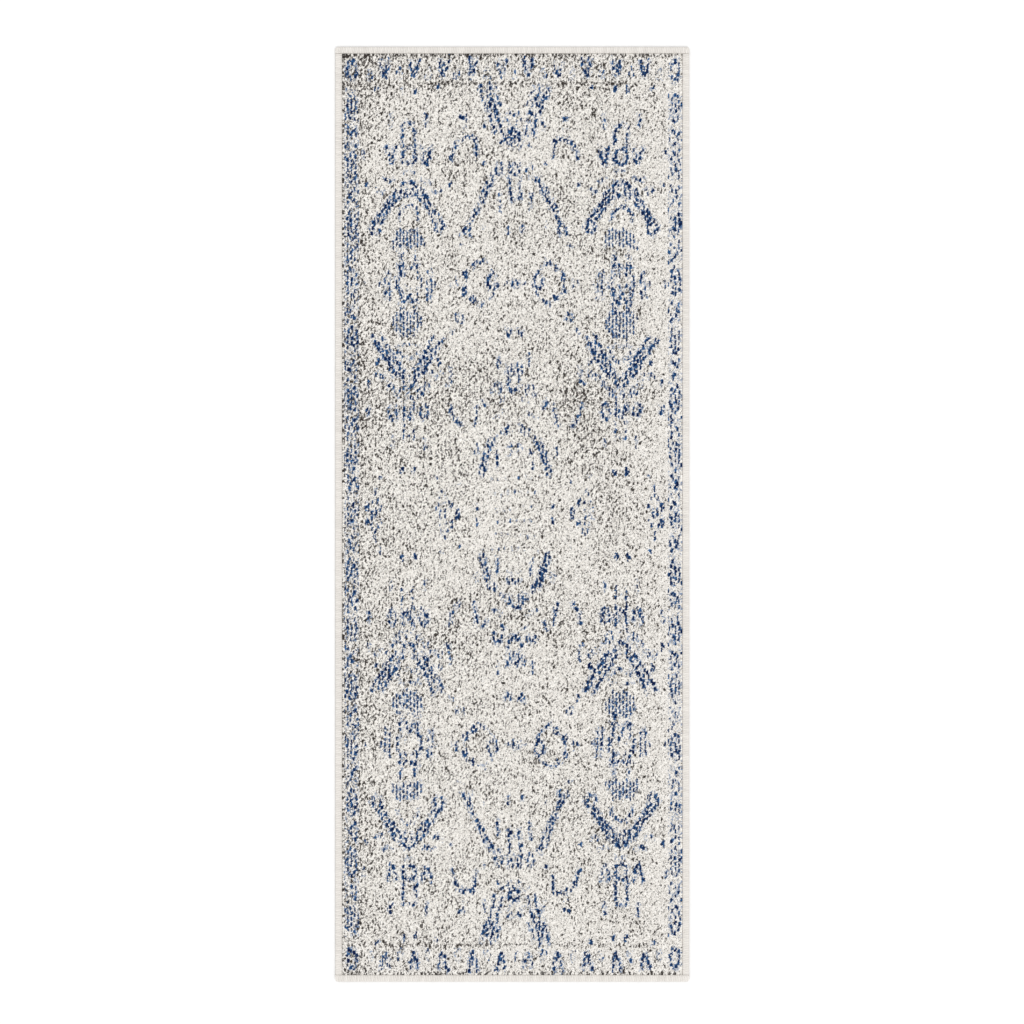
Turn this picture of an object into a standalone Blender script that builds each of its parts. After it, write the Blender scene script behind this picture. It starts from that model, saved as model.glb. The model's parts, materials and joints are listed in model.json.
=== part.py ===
# Runner rug: a power-loomed cut-pile runner with a sized back and overlocked edges.
# Metres, +Z up. The origin is on the floor under the rug's middle and +Y runs along the rug.
# Layers from the floor up: back coat, woven ground, pile. Each of the four edges is wrapped by
# one run of overlock yarn, locked by its needle thread in the channel beside the pile.
import math

import bmesh
import bpy

RUG_WIDTH = 0.685
RUG_LENGTH = 1.808
CORNER_RADIUS = 0.005  # plan radius of the overlocked corners
FIT_GAP = 0.0003  # clearance between neighbouring pieces

COAT_THICKNESS = 0.0009
GROUND_THICKNESS = 0.0020
PILE_HEIGHT = 0.0060
PILE_EDGE_ROUND = 0.0015
PILE_CORNER_RADIUS = 0.002

OVERLOCK_WIDTH = 0.0135  # how far the wrapping yarn reaches in from the rug's outline
OVERLOCK_HEIGHT = 0.0062
OVERLOCK_WALL = 0.0022  # yarn outside the ground's cut edge
OVERLOCK_OUTER_ROUND = 0.0028
OVERLOCK_INNER_ROUND = 0.0012
OVERLOCK_FLOOR_ROUND = 0.0006
THREAD_DIAMETER = 0.0008

ARC_STEPS = 6
CUTTER_MARGIN = 0.01

GROUND_LOW = COAT_THICKNESS + FIT_GAP
GROUND_HIGH = GROUND_LOW + GROUND_THICKNESS
PILE_LOW = GROUND_HIGH + FIT_GAP
PILE_HIGH = PILE_LOW + PILE_HEIGHT
CHANNEL_WIDTH = THREAD_DIAMETER + 2 * FIT_GAP
PILE_INSET = OVERLOCK_WIDTH + CHANNEL_WIDTH

# piece colours (linear), roughness and metallic value
FINISHES = {
    "pile_yarn": ((0.66, 0.64, 0.61, 1.0), 0.92, 0.0),
    "ground_yarn": ((0.52, 0.45, 0.34, 1.0), 0.90, 0.0),
    "latex_size": ((0.60, 0.55, 0.46, 1.0), 0.75, 0.0),
    "overlock_yarn": ((0.76, 0.74, 0.70, 1.0), 0.85, 0.0),
    "needle_thread": ((0.70, 0.68, 0.64, 1.0), 0.60, 0.0),
}


def clear_scene():
    for obj in list(bpy.data.objects):
        bpy.data.objects.remove(obj, do_unlink=True)


def new_collection(name, hidden=False):
    collection = bpy.data.collections.new(name)
    bpy.context.scene.collection.children.link(collection)
    collection.hide_render = hidden
    return collection


def finish_material(obj, finish):
    colour, roughness, metallic = FINISHES[finish]
    material = bpy.data.materials.new(obj.name)
    material.use_nodes = True
    shader = material.node_tree.nodes["Principled BSDF"]
    shader.inputs["Base Color"].default_value = colour
    shader.inputs["Roughness"].default_value = roughness
    shader.inputs["Metallic"].default_value = metallic
    material.diffuse_color = colour
    obj.data.materials.clear()
    obj.data.materials.append(material)


def rounded_outline(corners):
    # corners are (x, y, radius), anticlockwise and square, and each becomes a quarter arc
    points = []
    for i, (x, y, radius) in enumerate(corners):
        before = corners[i - 1]
        after = corners[(i + 1) % len(corners)]
        into = math.atan2(y - before[1], x - before[0])
        out = math.atan2(after[1] - y, after[0] - x)
        centre_x = x - radius * math.cos(into) + radius * math.cos(out)
        centre_y = y - radius * math.sin(into) + radius * math.sin(out)
        start = into - math.pi / 2
        for step in range(ARC_STEPS + 1):
            angle = start + math.pi / 2 * step / ARC_STEPS
            points.append((centre_x + radius * math.cos(angle), centre_y + radius * math.sin(angle)))
    return points


def extruded(name, outline, depth, collection, rotation=(0, 0, 0), location=(0, 0, 0)):
    # a filled 2D outline, given its depth evenly to both sides, as a welded mesh
    curve = bpy.data.curves.new(name, "CURVE")
    curve.dimensions = "2D"
    curve.fill_mode = "BOTH"
    curve.extrude = depth / 2
    spline = curve.splines.new("POLY")
    spline.points.add(len(outline) - 1)
    for point, (x, y) in zip(spline.points, outline):
        point.co = (x, y, 0, 1)
    spline.use_cyclic_u = True
    shape = bpy.data.objects.new(name + "_outline", curve)
    shape.rotation_euler = rotation
    shape.location = location
    bpy.context.scene.collection.objects.link(shape)
    bpy.context.view_layer.update()
    graph = bpy.context.evaluated_depsgraph_get()
    mesh = bpy.data.meshes.new_from_object(shape.evaluated_get(graph))
    mesh.name = name
    solid = bpy.data.objects.new(name, mesh)
    solid.matrix_world = shape.matrix_world
    collection.objects.link(solid)
    bpy.data.objects.remove(shape, do_unlink=True)
    work = bmesh.new()
    work.from_mesh(mesh)
    bmesh.ops.remove_doubles(work, verts=work.verts, dist=1e-6)
    bmesh.ops.recalc_face_normals(work, faces=work.faces)
    work.to_mesh(mesh)
    work.free()
    return solid


def rectangle(half_x, half_y, radius):
    return rounded_outline(
        [
            (half_x, -half_y, radius),
            (half_x, half_y, radius),
            (-half_x, half_y, radius),
            (-half_x, -half_y, radius),
        ]
    )


def slab(name, inset, radius, low, high, collection):
    outline = rectangle(RUG_WIDTH / 2 - inset, RUG_LENGTH / 2 - inset, radius)
    return extruded(name, outline, high - low, collection, location=(0, 0, (low + high) / 2))


def make_back_coat(collection):
    inset = OVERLOCK_WIDTH + FIT_GAP
    coat = slab("latex_back_coat", inset, PILE_CORNER_RADIUS, 0, COAT_THICKNESS, collection)
    finish_material(coat, "latex_size")


def make_ground(collection):
    ground = slab(
        "woven_ground", OVERLOCK_WALL, CORNER_RADIUS - OVERLOCK_WALL, GROUND_LOW, GROUND_HIGH, collection
    )
    finish_material(ground, "ground_yarn")


def make_pile(collection):
    pile = slab("pile_field", PILE_INSET, PILE_CORNER_RADIUS, PILE_LOW, PILE_HIGH, collection)
    work = bmesh.new()
    work.from_mesh(pile.data)
    top = max(vertex.co.z for vertex in work.verts)
    rim = [
        edge
        for edge in work.edges
        if all(abs(vertex.co.z - top) < 1e-6 for vertex in edge.verts)
        and abs(edge.calc_face_angle(0)) > math.radians(45)
    ]
    bmesh.ops.bevel(work, geom=rim, offset=PILE_EDGE_ROUND, segments=3, profile=0.5, affect="EDGES")
    work.to_mesh(pile.data)
    work.free()
    finish_material(pile, "pile_yarn")


def overlock_profile():
    # across the edge (x, inwards from the rug's outline) and up (y)
    return rounded_outline(
        [
            (0, 0, OVERLOCK_FLOOR_ROUND),
            (OVERLOCK_WIDTH, 0, OVERLOCK_FLOOR_ROUND),
            (OVERLOCK_WIDTH, OVERLOCK_HEIGHT, OVERLOCK_INNER_ROUND),
            (0, OVERLOCK_HEIGHT, OVERLOCK_OUTER_ROUND),
        ]
    )


def cut_with(obj, cutter, operation):
    boolean = obj.modifiers.new(cutter.name, "BOOLEAN")
    boolean.operation = operation
    boolean.solver = "EXACT"
    boolean.object = cutter


def make_cutters(collection):
    # the room that the ground's margin takes inside the wrap, and the rug's whole outline
    margin = slab(
        "ground_room",
        OVERLOCK_WALL - FIT_GAP,
        CORNER_RADIUS - OVERLOCK_WALL + FIT_GAP,
        GROUND_LOW - FIT_GAP,
        GROUND_HIGH + FIT_GAP,
        collection,
    )
    outline = slab(
        "rug_outline", 0, CORNER_RADIUS, -CUTTER_MARGIN, OVERLOCK_HEIGHT + CUTTER_MARGIN, collection
    )
    for cutter in (margin, outline):
        cutter.hide_render = True
        cutter.display_type = "WIRE"
    return margin, outline


def make_overlocks(collection, ground_room, rug_outline):
    # The end runs cross the full width and the side runs fit between them.
    side_length = RUG_LENGTH - 2 * (OVERLOCK_WIDTH + FIT_GAP)
    runs = (
        ("overlock_left", side_length, 0, (-RUG_WIDTH / 2, 0, 0)),
        ("overlock_right", side_length, 180, (RUG_WIDTH / 2, 0, 0)),
        ("overlock_foot_end", RUG_WIDTH, 90, (0, -RUG_LENGTH / 2, 0)),
        ("overlock_head_end", RUG_WIDTH, -90, (0, RUG_LENGTH / 2, 0)),
    )
    for name, length, turn, location in runs:
        rotation = (math.radians(90), 0, math.radians(turn))
        run = extruded(name, overlock_profile(), length, collection, rotation, location)
        cut_with(run, ground_room, "DIFFERENCE")
        if name.endswith("end"):
            cut_with(run, rug_outline, "INTERSECT")
        finish_material(run, "overlock_yarn")


def thread(name, start, end, collection):
    curve = bpy.data.curves.new(name, "CURVE")
    curve.dimensions = "3D"
    curve.bevel_depth = THREAD_DIAMETER / 2
    curve.bevel_resolution = 2
    curve.use_fill_caps = True
    spline = curve.splines.new("POLY")
    spline.points.add(1)
    spline.points[0].co = (*start, 1)
    spline.points[1].co = (*end, 1)
    obj = bpy.data.objects.new(name, curve)
    collection.objects.link(obj)
    finish_material(obj, "needle_thread")


def make_threads(collection):
    # One needle thread locks each overlock run, in the channel between the wrap and the pile.
    centre = OVERLOCK_WIDTH + CHANNEL_WIDTH / 2
    across = RUG_WIDTH / 2 - centre
    along = RUG_LENGTH / 2 - centre
    end_reach = RUG_WIDTH / 2 - OVERLOCK_WIDTH - FIT_GAP
    side_reach = along - THREAD_DIAMETER / 2 - FIT_GAP
    height = PILE_LOW + THREAD_DIAMETER / 2
    for name, side in (("left", -1), ("right", 1)):
        x = side * across
        thread(f"needle_thread_{name}", (x, -side_reach, height), (x, side_reach, height), collection)
    for name, side in (("foot_end", -1), ("head_end", 1)):
        y = side * along
        thread(f"needle_thread_{name}", (-end_reach, y, height), (end_reach, y, height), collection)


def main():
    clear_scene()
    rug = new_collection("runner_rug")
    cutters = new_collection("cutters", hidden=True)
    make_back_coat(rug)
    make_ground(rug)
    make_pile(rug)
    ground_room, rug_outline = make_cutters(cutters)
    make_overlocks(rug, ground_room, rug_outline)
    make_threads(rug)


main()
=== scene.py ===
import json
import math

import bmesh
import bpy
import numpy as np
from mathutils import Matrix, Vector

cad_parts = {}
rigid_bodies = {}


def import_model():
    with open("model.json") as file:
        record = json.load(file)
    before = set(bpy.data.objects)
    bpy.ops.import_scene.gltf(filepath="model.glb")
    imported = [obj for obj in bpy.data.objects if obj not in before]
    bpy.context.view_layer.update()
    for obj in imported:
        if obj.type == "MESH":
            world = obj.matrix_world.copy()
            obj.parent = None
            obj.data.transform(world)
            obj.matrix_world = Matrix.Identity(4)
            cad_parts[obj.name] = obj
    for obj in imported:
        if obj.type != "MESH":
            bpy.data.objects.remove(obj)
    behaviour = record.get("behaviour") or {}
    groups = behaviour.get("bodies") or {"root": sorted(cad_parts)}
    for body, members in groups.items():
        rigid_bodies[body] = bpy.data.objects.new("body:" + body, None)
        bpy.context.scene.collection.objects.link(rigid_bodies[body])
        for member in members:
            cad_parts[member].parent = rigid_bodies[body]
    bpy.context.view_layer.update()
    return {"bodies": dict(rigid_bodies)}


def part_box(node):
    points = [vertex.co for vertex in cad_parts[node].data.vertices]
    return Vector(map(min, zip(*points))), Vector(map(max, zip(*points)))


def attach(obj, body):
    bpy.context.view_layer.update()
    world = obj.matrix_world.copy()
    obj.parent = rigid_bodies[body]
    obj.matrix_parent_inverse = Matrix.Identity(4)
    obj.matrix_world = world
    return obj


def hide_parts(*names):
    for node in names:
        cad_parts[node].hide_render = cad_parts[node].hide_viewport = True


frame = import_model()
bodyName = list(frame["bodies"])[0]    # nothing on the rug moves on its own

pileLow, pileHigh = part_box("pile_field")
groundLow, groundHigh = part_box("woven_ground")
coatLow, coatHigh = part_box("latex_back_coat")
sideLow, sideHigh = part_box("overlock_left")
headLow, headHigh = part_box("overlock_head_end")

# the rug's four sides, each a quarter turn on from the one before
sideNames = ("foot_end", "right", "head_end", "left")


class Wire:
    # one socket of a node tree: arithmetic on it adds Math nodes, node() adds any other node
    def __init__(self, socket):
        self.socket = socket

    def node(self, kind, settings=None, sockets=None, out=0):
        tree = self.socket.id_data
        made = tree.nodes.new(kind)
        for name, value in (settings or {}).items():
            setattr(made, name, value)
        for name, value in (sockets or {}).items():
            if isinstance(value, Wire):
                tree.links.new(value.socket, made.inputs[name])
            else:
                made.inputs[name].default_value = value
        return Wire(made.outputs[out])

    def math(self, operation, first, second=0.0):
        return self.node("ShaderNodeMath", {"operation": operation}, {0: first, 1: second})

    def __add__(self, other):
        return self.math("ADD", self, other)

    def __radd__(self, other):
        return self.math("ADD", other, self)

    def __sub__(self, other):
        return self.math("SUBTRACT", self, other)

    def __rsub__(self, other):
        return self.math("SUBTRACT", other, self)

    def __mul__(self, other):
        return self.math("MULTIPLY", self, other)

    def __rmul__(self, other):
        return self.math("MULTIPLY", other, self)

    def __truediv__(self, other):
        return self.math("DIVIDE", self, other)

    def __pow__(self, other):
        return self.math("POWER", self, other)

    def __mod__(self, other):
        return self.math("MODULO", self, other)

    def least(self, other):
        return self.math("MINIMUM", self, other)

    def most(self, other):
        return self.math("MAXIMUM", self, other)

    def size(self):
        return self.math("ABSOLUTE", self)

    def floor(self):
        return self.math("FLOOR", self)

    def nearest(self):
        return self.math("FLOOR", self + 0.5)

    def wave(self):
        return self.math("SINE", self)

    def root(self):
        return self.math("SQRT", self)

    def held(self):
        return self.most(0.0).least(1.0)

    def xyz(self):
        parts = self.node("ShaderNodeSeparateXYZ", {}, {0: self}).socket.node.outputs
        return [Wire(part) for part in parts]

    def point(self, x, y, z):
        return self.node("ShaderNodeCombineXYZ", {}, {0: x, 1: y, 2: z})

    def blend(self, first, second):
        # as this value goes from 0 to 1, the first colour gives way to the second
        return self.node("ShaderNodeMix", {"data_type": "RGBA"}, {0: self, 6: first, 7: second}, 2)

    def dimmed(self, light):
        # this colour times a value
        settings = {"data_type": "RGBA", "blend_type": "MULTIPLY"}
        return self.node("ShaderNodeMix", settings, {0: 1.0, 6: self, 7: light}, 2)


def newTree(name, inputs):
    # an empty Geometry Nodes tree with named inputs, and its inputs as wires
    tree = bpy.data.node_groups.new(name, "GeometryNodeTree")
    for label, kind in inputs.items():
        tree.interface.new_socket(label, in_out="INPUT", socket_type="NodeSocket" + kind)
    tree.interface.new_socket("Geometry", in_out="OUTPUT", socket_type="NodeSocketGeometry")
    start = tree.nodes.new("NodeGroupInput")
    return tree, {label: Wire(start.outputs[label]) for label in inputs}


def endTree(tree, geometry, material):
    whole = geometry.node("GeometryNodeRealizeInstances", {}, {0: geometry})
    whole = whole.node("GeometryNodeSetMaterial", {}, {"Geometry": whole, "Material": material})
    end = tree.nodes.new("NodeGroupOutput")
    tree.links.new(whole.socket, end.inputs[0])


def grow(name, tree, values):
    # a plain mesh object from a tree, with the tree's inputs set by name
    piece = bpy.data.objects.new(name, bpy.data.meshes.new(name))
    bpy.context.scene.collection.objects.link(piece)
    modifier = piece.modifiers.new("grow", "NODES")
    modifier.node_group = tree
    for item in tree.interface.items_tree:
        if item.in_out == "INPUT":
            modifier[item.identifier] = values[item.name]
    graph = bpy.context.evaluated_depsgraph_get()
    made = bpy.data.meshes.new_from_object(piece.evaluated_get(graph))
    piece.modifiers.clear()
    empty, piece.data = piece.data, made
    made.name = name
    bpy.data.meshes.remove(empty)
    return piece


def openEdges(form):
    return [edge for edge in form.edges if edge.is_boundary]


def closeSlab(piece, low, high, height):
    # walls from the open rim of a sheet to a flat face at this height, so that the piece is solid
    form = bmesh.new()
    form.from_mesh(piece.data)
    rim = openEdges(form)
    walls = bmesh.ops.extrude_edge_only(form, edges=rim)["geom"]
    for corner in walls:
        if isinstance(corner, bmesh.types.BMVert):
            corner.co.x = min(max(corner.co.x, low[0]), high[0])
            corner.co.y = min(max(corner.co.y, low[1]), high[1])
            corner.co.z = height
    bmesh.ops.holes_fill(form, edges=openEdges(form))
    bmesh.ops.recalc_face_normals(form, faces=form.faces)
    finishForm(piece, form)


def closeEnds(piece):
    # flat faces over the two open ends of a tube
    form = bmesh.new()
    form.from_mesh(piece.data)
    bmesh.ops.holes_fill(form, edges=openEdges(form))
    bmesh.ops.recalc_face_normals(form, faces=form.faces)
    finishForm(piece, form)


def finishForm(piece, form):
    # the worked mesh goes back to its piece, smooth but for its sharp corners
    form.to_mesh(piece.data)
    form.free()
    piece.data.shade_smooth()
    piece.data.set_sharp_from_angle(angle=math.radians(75))


def principled(name, finish):
    # a material with its fixed values set, a wire of Object coordinates, and a way to link the rest
    material = bpy.data.materials.new(name)
    material.use_nodes = True
    tree = material.node_tree
    shader = next(node for node in tree.nodes if node.type == "BSDF_PRINCIPLED")
    for label, value in finish.items():
        shader.inputs[label].default_value = value
    place = Wire(tree.nodes.new("ShaderNodeTexCoord").outputs["Object"])

    def feed(label, wire):
        tree.links.new(wire.socket, shader.inputs[label])

    return material, place, feed


def stretched(place, scale):
    return place.node("ShaderNodeMapping", {}, {"Vector": place, "Scale": scale})


def noise(place, scale, detail=2.0):
    return place.node("ShaderNodeTexNoise", {}, {"Vector": place, "Scale": scale, "Detail": detail})


def attribute(place, name):
    return place.node("ShaderNodeAttribute", {"attribute_name": name}, {}, "Fac")


def bump(height, strength, distance):
    sockets = {"Height": height, "Strength": strength, "Distance": distance}
    return height.node("ShaderNodeBump", {}, sockets)


def colour(red, green, blue):
    return (red, green, blue, 1.0)


# the drawn design, in mm from the rug's middle
design = {
    "seed": 41,
    "centreAcross": 5.0,    # the drawing sits this far off the rug's middle
    "borderAcross": 2.4,
    "column": 206.0,        # from the middle to each side column
    "border": 312.0,        # from the middle to each side border
    "borderEnd": 820.0,     # the scrolls stop here, short of the corner ovals
    "cornerOval": 858.0,
    "scroll": 112.0,        # from one border scroll to the next
    "tulip": 56.4,          # from one end tulip to the next
    "tulipShift": 3.0,
    "tulipRow": (292.0, 836.0),    # the tulips keep inside this, across, and beyond it, along
    "wobble": 2.0,          # how far the drawn lines wander, in patches of this size
    "wobbleSize": (60.0, 60.0),
    "fade": 1.9,            # from full ink to none at the edge of a line
    "skirt": 3.8,           # loose knots around a line thin out over this distance
    "skirtInk": 0.36,
    "dashInk": 0.85,        # the dashes of a filled patch, and the gaps between them
    "dashGap": 0.16,
    "knotColumns": 3,       # tufts from one knot to the next across: the last is a gap
    "knotRows": 4,          # the same along
}

# the pile's own width and length, in mm
pileWide, pileLong = [round(1000 * float(high - low), 1) for low, high in zip(pileLow[:2], pileHigh[:2])]


def oval(u, v, across, along, start=0, end=360, steps=16):
    # points of an oval, or of a part of it, by angle from its top
    angles = [math.radians(start + (end - start) * step / steps) for step in range(steps + 1)]
    return [(u + across * math.sin(angle), v + along * math.cos(angle)) for angle in angles]


class Drawing:
    # ink laid on the tufts: u and v say how far each tuft is from the drawing's own middle
    def __init__(self, u, v):
        self.u, self.v = u, v
        dash = np.arange(u.shape[1]) % design["knotColumns"] == 1
        self.fill = np.where(dash, design["dashInk"], design["dashGap"]) + np.zeros(u.shape)
        self.ink = np.zeros(u.shape)
        self.tone = np.zeros(u.shape)

    def line(self, points, width=4.5, ink=1.0, tone=0.0):
        # a stroke through these points; a tone up to 1 pales it, and above 1 it is drawn in grey
        points = np.array(points, float)
        reach = width / 2 + 2 * design["skirt"]
        low, high = points.min(0) - reach, points.max(0) + reach
        near = (self.u > low[0]) & (self.u < high[0]) & (self.v > low[1]) & (self.v < high[1])
        u, v = self.u[near], self.v[near]
        away = np.full(u.shape, 1e9)
        for (u0, v0), (u1, v1) in zip(points, points[1:]):
            du, dv = u1 - u0, v1 - v0
            along = np.clip(((u - u0) * du + (v - v0) * dv) / max(du * du + dv * dv, 1e-9), 0, 1)
            away = np.minimum(away, np.hypot(u - u0 - along * du, v - v0 - along * dv))
        core = np.clip((width / 2 - away) / design["fade"] + 0.5, 0, 1)
        skirt = design["skirtInk"] * np.exp(-np.maximum(away - width / 2, 0) / design["skirt"])
        self.lay(near, np.maximum(core, skirt * (away < reach)) * ink, tone)

    def blob(self, u0, v0, across, along, ink=1.0, tone=0.0):
        # a filled oval
        away = np.hypot((self.u - u0) / across, (self.v - v0) / along)
        near = away < 2
        depth = (1 - away[near]) * min(across, along) / design["fade"] + 0.5
        self.lay(near, np.clip(depth, 0, 1) * ink, tone)

    def lay(self, near, ink, tone):
        # the darker of the old and the new ink stays
        over = ink > self.ink[near]
        self.ink[near] = np.where(over, ink, self.ink[near])
        self.tone[near] = np.where(over, tone, self.tone[near])

    def block(self, v, halfWidths, step):
        # a patch of upright dashes, filled from the top down, each row as wide as given
        for row, half in enumerate(halfWidths):
            middle = v - step * row
            near = (self.u < half) & (self.v > middle - step / 2 - 0.1) & (self.v < middle + step / 2)
            self.lay(near, self.fill[near], 0.1)


def drawPendant(d):
    d.line([(64, 828), (62, 809), (56, 789), (48, 773), (42, 752), (38, 736)])
    d.line([(48, 829), (46, 812), (42, 797), (34, 781), (30, 760), (23, 736)])
    d.line([(36, 826), (34, 806), (27, 790)], ink=0.7)
    d.line([(56, 764), (58, 746)], ink=0.6)
    d.blob(54, 808, 4.5, 11)
    d.blob(46, 792, 4.5, 8)
    d.blob(36, 776, 4.5, 7)
    d.line(oval(0, 734, 10, 9), 8, 0.95)
    d.line([(0, 770), (11, 775)])
    d.line([(7, 755), (18, 760)], ink=0.7)
    d.line([(7, 710), (21, 724), (28, 716)], ink=0.75)


def drawSideFlower(d):
    d.blob(96, 766, 4, 5)
    d.blob(104, 767, 4, 4.5)
    d.line([(92, 750), (104, 748)], ink=0.6)
    d.line([(75, 692), (76, 708), (77, 722), (84, 730), (97, 731), (110, 721), (119, 706), (123, 686)])
    d.blob(78, 725, 4, 6)
    d.blob(117, 711, 4, 8)
    d.blob(60, 679, 3.5, 4.5)
    d.line(oval(101, 687, 9, 10), 3, 0.9, 2)
    d.blob(101, 748, 12, 9, 0.6, 2)


def drawGreatRafter(d):
    d.line(oval(30, 666, 6.5, 13), 4, 0.8)
    d.line([(42, 650), (52, 630), (62, 610), (74, 589), (87, 565), (101, 541)], 4.9)
    d.line([(48, 655), (60, 632), (72, 608), (84, 586)], ink=0.65)
    d.line([(86, 561), (85, 538)])
    d.line([(96, 524), (110, 516)], ink=0.4)
    d.line(oval(0, 668, 7, 10), 5, 0.85)
    d.line([(11, 680), (10, 664), (11, 650), (10, 630), (10, 606)])
    d.line(oval(0, 617, 8, 8), 4, 0.8)
    d.line([(31, 622), (32, 604), (31, 590)], ink=0.8)
    d.line([(13, 555), (13, 545)])
    d.blob(125, 638, 4, 5)
    d.blob(60, 560, 3, 6, 0.4)


def drawRingRosette(d):
    d.line(oval(45, 450, 8.5, 14))
    d.line(oval(68, 448, 29, 39), 3.9, 0.5)
    d.blob(95, 462, 5.5, 8)
    d.blob(97, 431, 6, 8)
    d.blob(81, 417, 6, 7)
    d.blob(80, 478, 4.5, 6)
    d.line([(58, 492), (68, 486)], ink=0.7)
    d.line([(62, 407), (71, 403)], ink=0.8)
    d.line([(113, 454), (112, 440)], ink=0.6)
    d.line([(5, 452), (5, 440)], 3.9)
    d.line([(12, 446), (18, 446)], ink=0.6)
    d.line(oval(107, 380, 7, 9), 3.5, 0.65)
    d.line([(120, 357), (124, 350)], ink=0.6)
    d.line(oval(60, 366, 7, 9), 3, 0.8, 2)


def drawMiddleMarks(d):
    d.line([(8, 358), (12, 346), (17, 359)], 4, 0.9)
    d.line([(31, 306), (32, 286)], ink=0.75)
    for level in (289, 280, 271):
        d.line([(0, level), (9, level - 3), (16, level + 2)], ink=0.85)
    d.line([(11, 262), (12, 249)], ink=0.8)
    d.line([(0, 239), (7, 239)], 7, 0.95)
    d.line(oval(32, 236, 8, 13, -110, 110))
    d.line([(62, 219), (56, 207)])
    d.line([(25, 196), (30, 186), (43, 184)], ink=0.6)
    d.line([(14, 222), (26, 214)], ink=0.5)
    d.line([(75, 210), (78, 190), (83, 171)])
    d.line([(127, 210), (123, 191), (111, 172)])
    d.line(oval(99, 202, 9, 9), 3, 0.8, 2)
    d.line([(126, 284), (126, 252), (133, 250)], 4, 0.85)
    d.blob(283, 254, 3.5, 7)
    d.line([(285, 206), (284, 190)])
    d.blob(286, 636, 4, 4.5)
    d.line([(292, 700), (292, 688)], ink=0.7)


def drawCentreArch(d):
    d.line([(0, 178), (9, 176), (15, 167), (18, 156)], 5.5, 0.9)
    d.line([(8, 170), (9, 156)], 3.6, 0.8)
    d.blob(25, 158, 3.5, 6, 0.8)
    d.line([(36, 146), (48, 122), (56, 98), (62, 76)], 4.9)
    d.line([(48, 142), (58, 112), (68, 82)])
    d.line([(31, 118), (34, 86)], ink=0.7)
    d.line(oval(74, 122, 4, 8), ink=0.6)
    d.line([(0, 132), (7, 134), (13, 128)], ink=0.75)
    d.line([(4, 118), (12, 112)], ink=0.5)
    for level, first, count in ((12, 6.4, 3), (40, 0, 4), (68, 6.4, 4)):
        for i in range(count):
            d.blob(first + 12.8 * i, level, 2.3, 3.2, 0.75, 0.1)


def drawFlankMedallion(d):
    d.blob(111, 3, 4.5, 10)
    d.blob(73, 14, 3.5, 6)
    d.blob(124, 19, 4.5, 8)
    for u, v in ((137, 45), (132, 33), (143, 33), (135, 20), (146, 20), (153, 10), (137, 5), (146, 5)):
        d.blob(u, v, 2.8, 4.5, 0.85)
    d.blob(107, 61, 2.6, 3.4, 0.8)
    d.blob(144, 73, 4.5, 3, 0.8)
    d.blob(286, 14, 4, 9)
    for u, v in ((272, 36), (266, 22), (278, 24), (260, 12), (268, 5), (276, 5), (272, 47)):
        d.blob(u, v, 2.8, 5, 0.85)
    d.blob(262, 70, 4, 3.5, 0.85)


def drawEndMarks(d):
    marks = ((267, 825, 6, 4), (216, 817, 3.6, 8), (192, 817, 3.6, 7), (148, 826, 5, 4.5))
    for u, v, across, along in marks:
        d.blob(u, v, across, along, 0.95)


def drawColumnHead(d):
    d.line([(0, 752), (10, 750)], ink=0.85)
    d.line([(12, 742), (12, 712)], ink=0.85)
    d.line([(34, 772), (34, 750)], ink=0.8)
    d.line([(41, 706), (38, 691), (33, 680)])
    d.line([(25, 706), (27, 690), (31, 678)])
    d.blob(33, 680, 5, 6)
    d.line([(0, 704), (9, 704), (12, 690), (11, 680), (0, 677)])
    d.line([(0, 662), (10, 664)], ink=0.55)


def drawColumnRafter(d):
    d.line([(0, 642), (9, 641), (15, 632), (16, 614)])
    d.line([(6, 632), (6, 614)], ink=0.85)
    d.line([(25, 626), (35, 608), (46, 591), (62, 569), (71, 555)], 4.9)
    d.line([(19, 610), (30, 598), (40, 586), (50, 566)], 4.9)
    d.line([(28, 604), (44, 582), (54, 570)], ink=0.75)
    d.line(oval(60, 555, 9, 12), 4, 0.85)
    d.blob(66, 550, 4, 6)
    d.line([(27, 646), (37, 643), (46, 646)], ink=0.8)
    d.line([(47, 627), (53, 620), (62, 628)], ink=0.7)
    d.blob(30, 612, 5, 6)
    d.line(oval(0, 571, 20, 24, -100, 100), 3.9, 0.8)


def drawColumnRosette(d):
    d.line([(14, 503), (14, 494)])
    d.line([(19, 481), (6, 478)], 6.5, 0.95)
    d.line([(16, 478), (16, 461), (23, 456), (24, 438), (17, 430), (16, 411)], 4.4, 0.95)
    d.line([(5, 466), (12, 457)], 3, 0.6)
    d.line([(8, 442), (3, 430)], 3, 0.5)
    d.line([(18, 408), (5, 409)], 5.5, 0.95)
    d.line([(5, 412), (0, 424)], 4, 0.8)
    d.line([(38, 468), (38, 416)], 3.2, 0.8)
    d.line([(46, 468), (46, 416)], 3.2, 0.7, 0.1)
    d.line([(13, 396), (13, 386)])
    d.blob(54, 444, 2.6, 6, 0.7)
    d.blob(84, 444, 2.6, 5, 0.6)


def drawColumnValley(d):
    d.line([(69, 340), (58, 320), (46, 301), (35, 284), (24, 269)], 4.9)
    d.line([(52, 344), (42, 326), (30, 306), (20, 288)], 4.9)
    d.line([(58, 334), (44, 312), (32, 294)], ink=0.75)
    d.line(oval(26, 281, 8, 12), 4.5, 0.9)
    d.blob(59, 294, 4.5, 6)
    d.line([(11, 276), (12, 258), (7, 249), (0, 247)], 4.9)
    d.blob(0, 263, 2.6, 5, 0.7)
    for u, v in ((46, 266), (34, 250), (20, 241), (0, 230), (60, 270)):
        d.line(oval(u, v - 3, 4.5, 8, -110, 110), 3.3, 0.62)
    d.line([(8, 224), (16, 228), (28, 236)], ink=0.55)
    d.line(oval(0, 315, 19, 17, 95, 265), 3.9, 0.75)
    d.line([(0, 326), (10, 328), (24, 324)], ink=0.4)


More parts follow.
